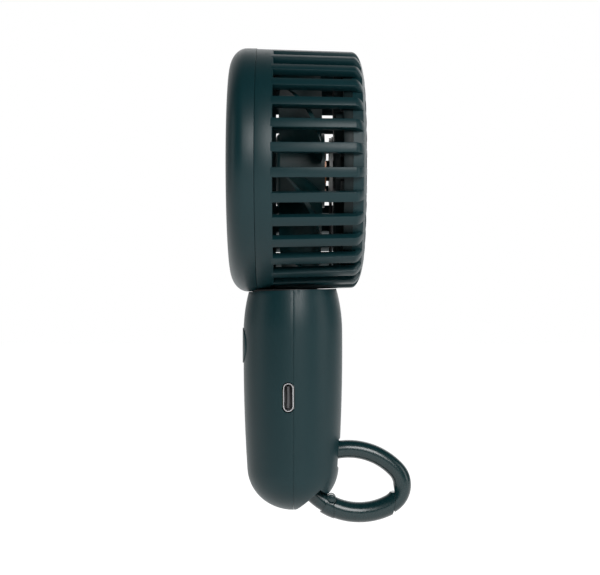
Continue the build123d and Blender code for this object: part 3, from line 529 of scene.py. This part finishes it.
@dataclass
class Studio:
    """Floor, surrounding light, lamps and camera."""

    floor_height: float = -0.15
    floor_radius: float = 4.0
    floor_lift: float = 0.93
    floor_tone: float = 0.36
    room_depth: tuple[float, float] = (-0.95, -0.30)
    room_light: tuple[float, float] = (0.85, 0.03)
    target: Vector = field(default_factory=lambda: Vector((0.0, 0.0, 0.04)))
    camera_place: Vector = field(default_factory=lambda: Vector((0.430, 0.0023, 0.0368)))
    lens: float = 79.40
    sensor: float = 36.0
    lamps: tuple[Softbox, ...] = (
        Softbox("key_lamp", (0.89, 0.22, 0.47), 0.42, 0.42, 10.5),
        Softbox("side_lamp", (0.30, 0.95, 0.30), 0.40, 0.70, 2.0),
        Softbox("front_lamp", (0.10, -1.05, 0.30), 0.50, 0.70, 0.9),
        Softbox("back_lamp", (-0.95, 0.20, 0.45), 1.00, 0.80, 0.8),
    )

    def build(self) -> None:
        """Build the whole studio."""
        self._floor()
        self._surroundings()
        for lamp in self.lamps:
            lamp.build(self.target)
        self._camera()
        bpy.context.scene.view_settings.view_transform = "Standard"

    def _floor(self) -> None:
        """Add a pale round floor that looks white and keeps the fan's shadow."""
        mesh = bmesh.new()
        bmesh.ops.create_circle(
            mesh, cap_ends=True, segments=96, radius=self.floor_radius,
            matrix=Matrix.Translation((0, 0, self.floor_height)),
        )
        data = bpy.data.meshes.new("floor")
        mesh.to_mesh(data)
        mesh.free()
        floor = bpy.data.objects.new("floor", data)
        bpy.context.scene.collection.objects.link(floor)
        material = bpy.data.materials.new("floor_paper")
        material.use_nodes = True
        tree = material.node_tree
        shader = tree.nodes["Principled BSDF"]
        tone = self.floor_tone
        shader.inputs["Base Color"].default_value = (tone, tone, tone, 1)
        shader.inputs["Roughness"].default_value = 0.9
        shader.inputs["Emission Color"].default_value = (1, 1, 1, 1)
        lift = tree.nodes.new("ShaderNodeMath")
        lift.operation = "MULTIPLY"
        lift.inputs[1].default_value = self.floor_lift
        tree.links.new(self._seen(tree), lift.inputs[0])
        tree.links.new(lift.outputs[0], shader.inputs["Emission Strength"])
        data.materials.append(material)

    def _seen(self, tree: bpy.types.NodeTree) -> bpy.types.NodeSocket:
        """Add nodes that tell rays that see the background from rays that light the fan.

        Args:
            tree: Node tree of the floor or the world.

        Returns:
            A socket that is 1 for camera, glossy and transmission rays, else 0.
        """
        path = tree.nodes.new("ShaderNodeLightPath")
        total = tree.nodes.new("ShaderNodeMath")
        total.operation = "ADD"
        total.use_clamp = True
        more = tree.nodes.new("ShaderNodeMath")
        more.operation = "ADD"
        more.use_clamp = True
        tree.links.new(path.outputs["Is Camera Ray"], total.inputs[0])
        tree.links.new(path.outputs["Is Glossy Ray"], total.inputs[1])
        tree.links.new(total.outputs[0], more.inputs[0])
        tree.links.new(path.outputs["Is Transmission Ray"], more.inputs[1])
        return more.outputs[0]

    def _surroundings(self) -> None:
        """Set a world that is white behind the fan and dim on the camera's side."""
        world = bpy.data.worlds.new("studio")
        bpy.context.scene.world = world
        world.use_nodes = True
        tree = world.node_tree
        room = tree.nodes["Background"]
        room.inputs["Color"].default_value = (1, 1, 1, 1)
        place = tree.nodes.new("ShaderNodeTexCoord")
        split = tree.nodes.new("ShaderNodeSeparateXYZ")
        tree.links.new(place.outputs["Generated"], split.inputs["Vector"])
        depth = tree.nodes.new("ShaderNodeMapRange")
        depth.inputs["From Min"].default_value = self.room_depth[0]
        depth.inputs["From Max"].default_value = self.room_depth[1]
        depth.inputs["To Min"].default_value = self.room_light[0]
        depth.inputs["To Max"].default_value = self.room_light[1]
        tree.links.new(split.outputs["X"], depth.inputs["Value"])
        tree.links.new(depth.outputs["Result"], room.inputs["Strength"])
        white = tree.nodes.new("ShaderNodeBackground")
        white.inputs["Color"].default_value = (1, 1, 1, 1)
        white.inputs["Strength"].default_value = 1.0
        path = tree.nodes.new("ShaderNodeLightPath")
        mix = tree.nodes.new("ShaderNodeMixShader")
        tree.links.new(path.outputs["Is Camera Ray"], mix.inputs["Fac"])
        tree.links.new(room.outputs["Background"], mix.inputs[1])
        tree.links.new(white.outputs["Background"], mix.inputs[2])
        tree.links.new(mix.outputs["Shader"], tree.nodes["World Output"].inputs["Surface"])

    def _camera(self) -> None:
        """Add the camera at the photograph's viewing angle."""
        data = bpy.data.cameras.new("camera")
        data.sensor_fit = "HORIZONTAL"
        data.sensor_width = self.sensor
        data.lens = self.lens
        data.clip_start = 0.01
        camera = bpy.data.objects.new("camera", data)
        camera.location = self.camera_place
        camera.rotation_euler = (math.radians(90), 0, math.radians(90))
        bpy.context.scene.collection.objects.link(camera)
        bpy.context.scene.camera = camera


# Sub-assemblies -------------------------------------------------------------------------


@dataclass
class Head:
    """Front ring, slatted cage and rear cap. Sizes in millimetres, but `edge` in metres."""

    radius: float = 39.0
    rear_radius: float = 38.05
    front_y: float = -20.1
    rear_y: float = 22.8
    wall: float = 2.4
    corner: tuple[float, float] = (12.0, 4.0)
    bezel_radius: float = 39.2
    bezel_corner: tuple[float, float] = (7.0, 5.5)
    ledge_width: float = 1.8
    ledge_depth: float = 1.5
    grille_rear: float = 2.8
    spigot_front: float = 7.0
    spigot_length: float = 3.0
    spigot_wall: float = 1.6
    spigot_gap: float = 0.1
    seam_y: float = -11.4
    seam_gap: float = 0.06
    seam_edge: float = 0.12
    slot_edge: float = 0.2
    slot_start_y: float = -6.0
    slats: int = 32
    slat_width: float = 3.0
    slat_overlap: float = 0.7
    slat_inner_radius: float = 33.0
    rib: tuple[float, float] = (35.25, 32.45)
    rib_front_y: float = 18.3
    bar_width: float = 2.0
    bar_overlap: float = 0.4
    rim_edge: float = 0.3
    middle_ring: tuple[float, float] = (25.0, 23.2)
    hub: tuple[float, float] = (16.0, 14.1)
    cap_radius: float = 14.0
    cap_depth: float = 1.4
    pad_front: float = -7.0
    pad_rear: float = 7.9
    pad_spread: float = 7.7
    edge: float = 0.22 * MM

    def build(self) -> None:
        """Build the pieces of the head."""
        self._bezel()
        self._cage()
        self._rear_cap()

    def side_radius(self, y: float) -> float:
        """Give the outer radius of the tapering cage.

        Args:
            y: Place along the head's axis.

        Returns:
            The radius there.
        """
        end_y = self.rear_y - self.corner[1]
        share = (y - self.seam_y) / (end_y - self.seam_y)
        return self.radius + (self.rear_radius - self.radius) * share

    def rear_surface(self, radius: float, drop: float = 0.0) -> float:
        """Give the Y of the domed rear wall.

        Args:
            radius: Distance from the head's axis.
            drop: Distance below the outer surface, 0 or the wall.

        Returns:
            The Y of the surface there.
        """
        centre = self.rear_radius - self.corner[0]
        if radius <= centre:
            return self.rear_y - drop
        wide, deep = self.corner[0] - drop, self.corner[1] - drop
        share = min(1.0, (radius - centre) / wide)
        return self.rear_y - self.corner[1] + deep * math.sqrt(1.0 - share * share)

    def _bezel(self) -> None:
        """Turn the rounded front ring."""
        lip = self.bezel_radius - self.bezel_corner[0]
        ledge = lip - self.ledge_width
        grille_rear = self.front_y + self.grille_rear
        spigot_end = self.seam_y + self.spigot_length
        spigot = self.side_radius(spigot_end) - self.wall - self.spigot_gap
        inside = spigot - self.spigot_wall
        ease = self.seam_edge
        section = [(spigot, self.seam_y), (self.bezel_radius - ease, self.seam_y)]
        section += arc((self.bezel_radius - ease, self.seam_y - ease), (ease, ease), 90, 0, 3)[1:]
        section += arc(
            (lip, self.front_y + self.bezel_corner[1]), self.bezel_corner, 0, -90, 20,
        )
        section += [
            (lip, grille_rear), (ledge, grille_rear), (ledge, grille_rear + self.ledge_depth),
            (lip, grille_rear + self.ledge_depth), (inside, self.front_y + self.spigot_front),
            (inside, spigot_end), (spigot, spigot_end),
        ]
        mesh = bmesh.new()
        turned(mesh, section)
        add_piece("bezel", mesh, Finishes.SATIN, Body.HOUSING, ("front_bezel",))

    def _cage(self) -> None:
        """Build the band, slats, rear bars and rings of the cage."""
        front = self.seam_y + self.seam_gap
        end_y = self.rear_y - self.corner[1]
        centre = (self.rear_radius - self.corner[0], end_y)
        inner = (self.corner[0] - self.wall, self.corner[1] - self.wall)
        mesh = bmesh.new()
        band = [(self.side_radius(front) - self.wall, front)]
        ease = self.seam_edge
        band += arc((self.side_radius(front) - ease, front + ease), (ease, ease), -90, 0, 3)
        ease = self.slot_edge
        slot_radius = self.side_radius(self.slot_start_y)
        band += arc((slot_radius - ease, self.slot_start_y - ease), (ease, ease), 0, 90, 3)
        band += [(slot_radius - self.wall, self.slot_start_y)]
        turned(mesh, band)
        start = self.slot_start_y - self.slat_overlap
        limit = self.slat_inner_radius
        outer_arc = [point for point in arc(centre, self.corner, 0, 90, 16) if point[0] > limit]
        inner_arc = [point for point in arc(centre, inner, 90, 0, 16) if point[0] > limit]
        slat = [(self.side_radius(start), start)] + outer_arc + inner_arc
        slat.append((self.side_radius(start) - self.wall, start))
        pitch = 360.0 / self.slats
        radial_bars(mesh, slat, self.slat_width * MM, self.slats, pitch / 2, self.edge)
        rib = [(self.rib[1], self.rib_front_y), (self.rib[0], self.rib_front_y)]
        rib += self._rear_run(self.rib[0], self.rib[1], 8)
        turned(mesh, rib)
        middle = [(self.middle_ring[1], self.rear_y - self.wall)]
        middle.append((self.middle_ring[0], self.rear_y - self.wall))
        middle += self._rear_run(self.middle_ring[0], self.middle_ring[1], 4)
        turned(mesh, middle)
        low, high = self.middle_ring[0] - self.bar_overlap, self.rib[1] + self.bar_overlap
        bar = [(low, self.rear_y - self.wall)]
        bar.append((high, self.rear_surface(high, self.wall)))
        bar += self._rear_run(high, low, 8)
        radial_bars(mesh, bar, self.bar_width * MM, self.slats, pitch / 2, self.edge)
        low, high = self.hub[0] - self.bar_overlap, self.middle_ring[1] + self.bar_overlap
        spoke = [(low, self.rear_y - self.wall), (high, self.rear_y - self.wall)]
        spoke += self._rear_run(high, low, 4)
        radial_bars(mesh, spoke, self.bar_width * MM, self.slats // 2, pitch / 2, self.edge)
        floor_y = self.rear_y - self.cap_depth
        hub = [(0.0, self.rear_y - self.wall), (self.hub[0], self.rear_y - self.wall)]
        ease = self.rim_edge
        hub += arc((self.hub[0] - ease, self.rear_y - ease), (ease, ease), 0, 90, 3)
        hub += [(self.hub[1], self.rear_y), (self.hub[1], floor_y), (0.0, floor_y)]
        turned(mesh, hub)
        self._neck_pad(mesh)
        add_piece("slatted_cage", mesh, Finishes.CASING, Body.HOUSING, ("rear_cage",))

    def _rear_run(self, outer: float, inner: float, steps: int) -> Profile:
        """Sample the domed rear surface inwards.

        Args:
            outer: First radius.
            inner: Last radius.
            steps: Number of chords.

        Returns:
            Points of the section.
        """
        radii = [outer + (inner - outer) * step / steps for step in range(steps + 1)]
        return [(radius, self.rear_surface(radius)) for radius in radii]

    def _neck_pad(self, mesh: bmesh.types.BMesh) -> None:
        """Add the solid seat at the foot of the cage, where the grip is joined.

        Args:
            mesh: Mesh of the cage.
        """
        front, rear, spread = self.pad_front, self.pad_rear, self.pad_spread
        section = [
            (self.side_radius(front) - self.wall, front), (self.side_radius(front), front),
            (self.side_radius(rear), rear), (self.side_radius(rear) - self.wall, rear),
        ]
        pad = bmesh.new()
        face = section_face(pad, section)
        bmesh.ops.rotate(
            pad, cent=HEAD_AXIS, verts=pad.verts,
            matrix=Matrix.Rotation(math.radians(180 - spread), 3, "Y"),
        )
        grown = bmesh.ops.extrude_face_region(pad, geom=[face])
        bmesh.ops.delete(pad, geom=pad.faces[:], context="FACES_ONLY")
        bmesh.ops.delete(
            pad, geom=[item for item in grown["geom"] if isinstance(item, bmesh.types.BMVert)],
            context="VERTS",
        )
        cap = bmesh.ops.contextual_create(pad, geom=pad.verts[:] + pad.edges[:])["faces"]
        bmesh.ops.spin(
            pad, geom=cap + pad.edges[:] + pad.verts[:], cent=HEAD_AXIS, axis=(0, 1, 0),
            angle=math.radians(2 * spread), steps=16,
        )
        bmesh.ops.recalc_face_normals(pad, faces=pad.faces)
        join(mesh, pad)

    def _rear_cap(self) -> None:
        """Turn the plain round cap let into the rear wall."""
        floor_y = self.rear_y - self.cap_depth
        section = [(0.0, floor_y), (self.cap_radius, floor_y)]
        ease = self.rim_edge
        section += arc((self.cap_radius - ease, self.rear_y - ease), (ease, ease), 0, 90, 4)
        section.append((0.0, self.rear_y))
        mesh = bmesh.new()
        turned(mesh, section)
        add_piece("rear_cap", mesh, Finishes.SATIN, Body.HOUSING, ("rear_hub_cap",))


@dataclass
class EasedGroup:
    """Pieces of one sub-assembly that keep their solids and get rounded edges."""

    nodes: dict[str, bpy.types.Object]
    body: Body
    finishes: dict[str, Finish]
    ease: float = 0.15 * MM
    flatness: float = 0.4

    def build(self) -> None:
        """Build every piece of the group."""
        for name, finish in self.finishes.items():
            mesh = eased_copy(self.shaped(name), self.ease, flatness=self.flatness)
            add_piece(name + "_eased", mesh, finish, self.body, (name,))

    def shaped(self, name: str) -> bmesh.types.BMesh:
        """Copy a solid before its edges are rounded.

        Args:
            name: CAD node.

        Returns:
            The solid's mesh.
        """
        mesh = bmesh.new()
        mesh.from_mesh(self.nodes[name].data)
        return mesh


@dataclass
class Grip(EasedGroup):
    """Two shells that meet in a fine parting line. Sizes in metres."""

    parting_y: float = 0.2 * MM
    parting_gap: float = 0.16 * MM
    line_gap: float = 0.06 * MM

    def shaped(self, name: str) -> bmesh.types.BMesh:
        """Copy a shell and bring its rim close to the other shell.

        Args:
            name: CAD node.

        Returns:
            The shell's mesh.
        """
        mesh = super().shaped(name)
        side = -1 if name == "grip_front_shell" else 1
        rim_y = self.parting_y + side * self.parting_gap / 2
        for vert in mesh.verts:
            if abs(vert.co.y - rim_y) < SAME_PLACE:
                vert.co.y = self.parting_y + side * self.line_gap / 2
        return mesh


@dataclass
class Gate(EasedGroup):
    """Sprung gate, whose root shows as a fine seam. Sizes in metres."""

    root_y: float = 13.478 * MM
    seam_shift: float = 0.19 * MM

    def shaped(self, name: str) -> bmesh.types.BMesh:
        """Copy the gate and bring its root close to the ring.

        Args:
            name: CAD node.

        Returns:
            The gate's mesh.
        """
        mesh = super().shaped(name)
        for vert in mesh.verts:
            if abs(vert.co.y - self.root_y) < SAME_PLACE:
                vert.co.y -= self.seam_shift
        return mesh


@dataclass
class NeckShadeDisc:
    """Black disc between the grip's flat top and the head, painted shade that stands for the shadow under the
    head. Sizes in metres.
    """

    radius: float = 13.2 * MM
    low: float = 35.0 * MM
    high: float = 36.3 * MM
    ease: float = 0.3 * MM

    def build(self) -> None:
        """Build the black disc of painted shade."""
        mesh = bmesh.new()
        bmesh.ops.create_circle(
            mesh, cap_ends=True, segments=64, radius=self.radius,
            matrix=Matrix.Translation((0, 0, self.low)),
        )
        grown = bmesh.ops.extrude_face_region(mesh, geom=mesh.faces[:])
        top = [item for item in grown["geom"] if isinstance(item, bmesh.types.BMVert)]
        bmesh.ops.translate(mesh, verts=top, vec=(0, 0, self.high - self.low))
        bmesh.ops.recalc_face_normals(mesh, faces=mesh.faces)
        rounded(mesh, self.ease)
        # The black finish of this disc paints the shade under the head.
        add_piece("neck_shade_disc", mesh, Finishes.BLACK, Body.HOUSING)


NODE_FINISHES: dict[str, Finish] = {
    "front_bezel": Finishes.CASING,
    "front_grille": Finishes.CASING,
    "grille_centre_cap": Finishes.CASING,
    "rear_cage": Finishes.CASING,
    "rear_hub_cap": Finishes.CASING,
    "motor_bracket": Finishes.INNER,
    "motor_screws": Finishes.STEEL,
    "stator_core": Finishes.LAMINATION,
    "stator_windings": Finishes.COPPER,
    "motor_driver_board": Finishes.DRIVER_BOARD,
    "front_bearing": Finishes.BRONZE,
    "rear_bearing": Finishes.BRONZE,
    "impeller": Finishes.BLADES,
    "rotor_bell": Finishes.STEEL,
    "magnet_ring": Finishes.MAGNET,
    "motor_shaft": Finishes.STEEL,
    "shaft_clip": Finishes.STEEL,
    "grip_front_shell": Finishes.CASING,
    "grip_rear_shell": Finishes.CASING,
    "power_button": Finishes.BUTTON,
    "switch_plunger": Finishes.BLACK,
    "tactile_switch": Finishes.STEEL,
    "main_board": Finishes.CIRCUIT_BOARD,
    "board_screws": Finishes.STEEL,
    "board_parts": Finishes.BLACK,
    "usb_c_shell": Finishes.PORT_STEEL,
    "usb_c_tongue": Finishes.TONGUE,
    "status_led": Finishes.LED,
    "light_pipe": Finishes.CLEAR,
    "battery_cell": Finishes.FOIL,
    "battery_leads": Finishes.WIRE,
    "motor_leads": Finishes.WIRE,
    "carabiner_ring": Finishes.RING_PAINT,
    "carabiner_gate": Finishes.RING_PAINT,
    "gate_pin": Finishes.RING_PAINT,
    "gate_spring": Finishes.STEEL,
}


def dress_nodes(nodes: dict[str, bpy.types.Object]) -> None:
    """Give each CAD node its finish.

    Args:
        nodes: CAD objects by name.
    """
    for name, finish in NODE_FINISHES.items():
        dress(nodes[name], finish)


def main() -> None:
    """Build the fan and its studio, and report each piece."""
    logging.basicConfig(level=logging.INFO, format="%(name)s: %(message)s")
    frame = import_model()
    nodes = frame["nodes"]
    dress_nodes(nodes)
    Studio().build()
    Head().build()
    paint = Finishes.RING_PAINT
    guards = {"front_grille": Finishes.CASING, "grille_centre_cap": Finishes.CASING}
    shells = {"grip_front_shell": Finishes.CASING, "grip_rear_shell": Finishes.CASING}
    EasedGroup(nodes, Body.HOUSING, guards, ease=0.2 * MM).build()
    Grip(nodes, Body.HOUSING, shells, ease=0.2 * MM, flatness=0.05).build()
    EasedGroup(nodes, Body.BUTTON, {"power_button": Finishes.BUTTON}, ease=0.25 * MM).build()
    EasedGroup(nodes, Body.RING, {"carabiner_ring": paint, "gate_pin": paint}).build()
    Gate(nodes, Body.GATE, {"carabiner_gate": paint}).build()
    NeckShadeDisc().build()
    EasedGroup(nodes, Body.HOUSING, {"motor_bracket": Finishes.INNER}).build()


if __name__ == "__main__":
    main()
